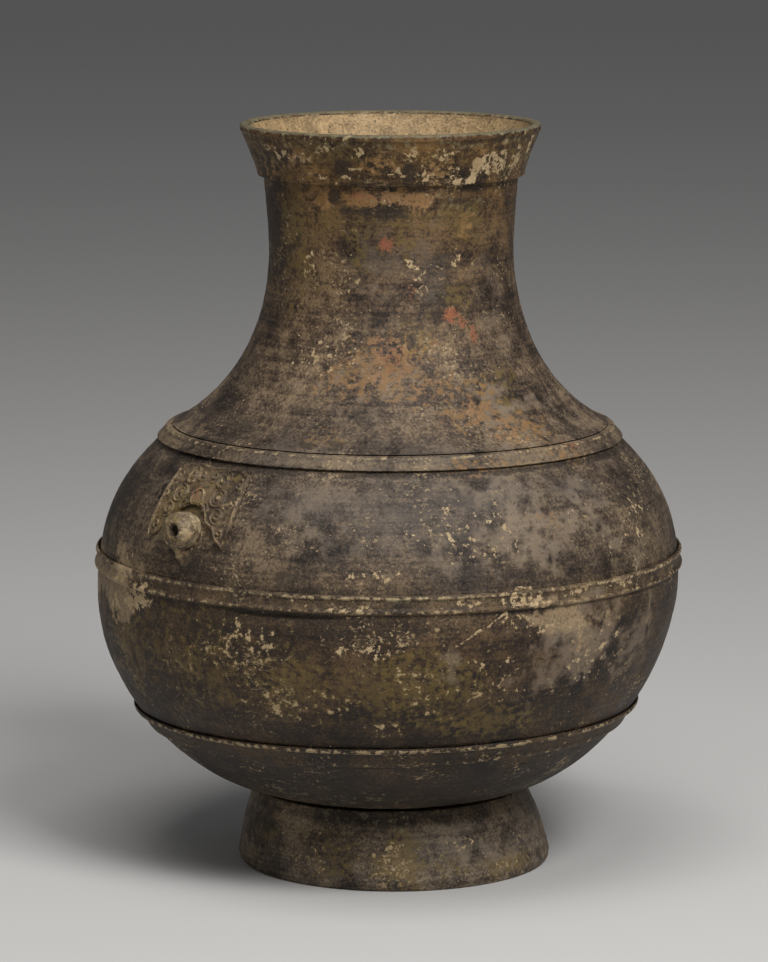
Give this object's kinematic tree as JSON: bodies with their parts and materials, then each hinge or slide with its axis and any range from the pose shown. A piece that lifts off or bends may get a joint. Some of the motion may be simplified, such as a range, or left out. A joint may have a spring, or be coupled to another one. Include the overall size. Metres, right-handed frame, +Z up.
{
  "type": "hu jar",
  "caption": "Large pottery storage jar with a swelling belly, waisted neck, flared mouth collar, splayed foot ring, applied bands and animal masks with pierced nose bosses.",
  "frame": {"origin": "on the ground under the middle of the belly", "axes": "+Z up through the mouth; -Y is the side seen in the picture; the masks face 45 degrees left of the front and opposite it"},
  "size_m": [0.3568, 0.3568, 0.45],
  "materials": {
    "body_clay": "weathered dark brown surface over grey-brown pottery",
    "band_clay": "worn brown with pale ridges",
    "mask_clay": "worn olive brown relief",
    "boss_clay": "pale grey-cream clay"
  },
  "bodies": {
    "root": {"foot_ring": "body_clay", "lower_bowl": "body_clay", "lower_belly": "body_clay", "upper_belly": "body_clay", "shoulder_neck": "body_clay", "mouth_collar": "body_clay", "shoulder_band": "band_clay", "belly_band": "band_clay", "lower_band": "band_clay", "mask_front_left": "mask_clay", "mask_back_right": "mask_clay", "nose_boss_front_left": "boss_clay", "nose_boss_back_right": "boss_clay"}
  },
  "joints": []
}
